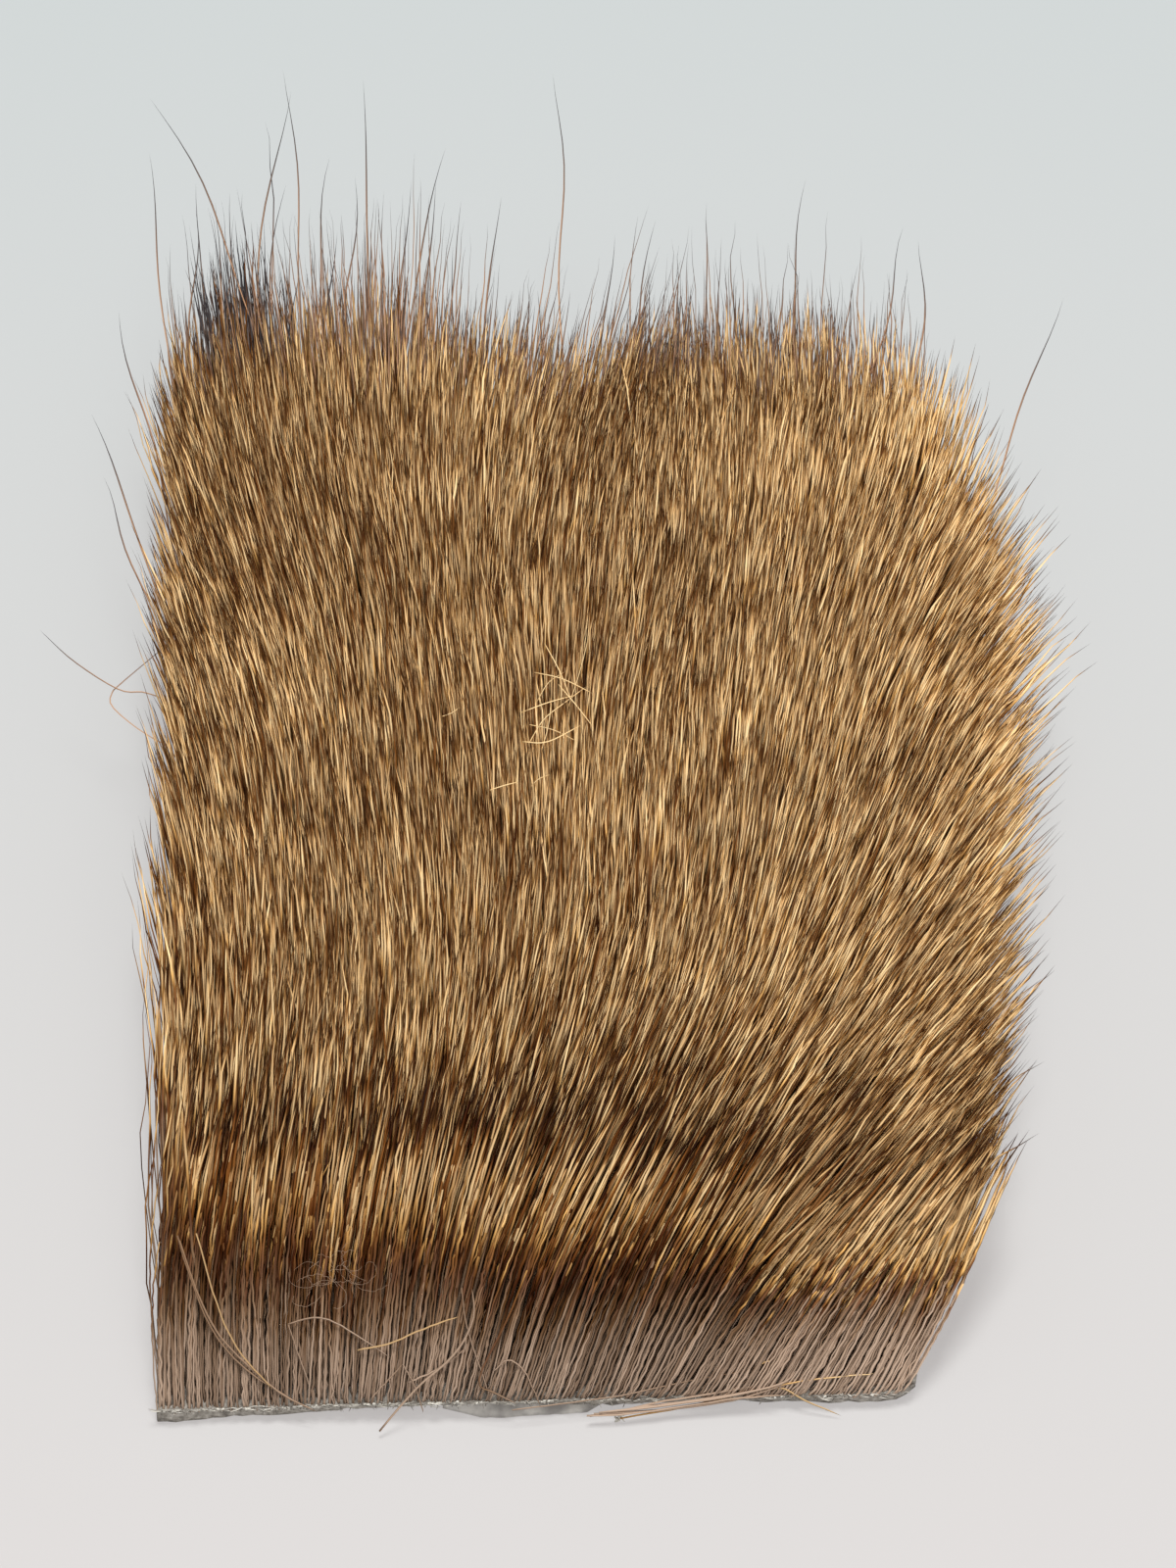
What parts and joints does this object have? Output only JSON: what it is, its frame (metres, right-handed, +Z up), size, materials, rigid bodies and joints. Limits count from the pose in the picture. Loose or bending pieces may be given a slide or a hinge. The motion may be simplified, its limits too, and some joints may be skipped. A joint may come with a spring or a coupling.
{
  "type": "deer hair patch",
  "caption": "Rectangular cut of tanned deer hide with the hair left on, lying flat, for tying and trimming work.",
  "frame": {"origin": "middle of the hide's flat underside, at the surface it lies on", "axes": "+Z up out of the hair, +Y the way the hair lies and points, along the patch's length, X across it"},
  "size_m": [0.0668, 0.1044, 0.0149],
  "materials": {
    "tanned_hide": "pale undyed suede side, matte, greyish white where it is cut",
    "deer_hair": "natural hair, taupe grey at the root, then dark brown, golden tan and a near-black tip, softly shiny"
  },
  "bodies": {
    "root": {"hide": "tanned_hide", "hair_coat": "deer_hair"}
  },
  "joints": []
}
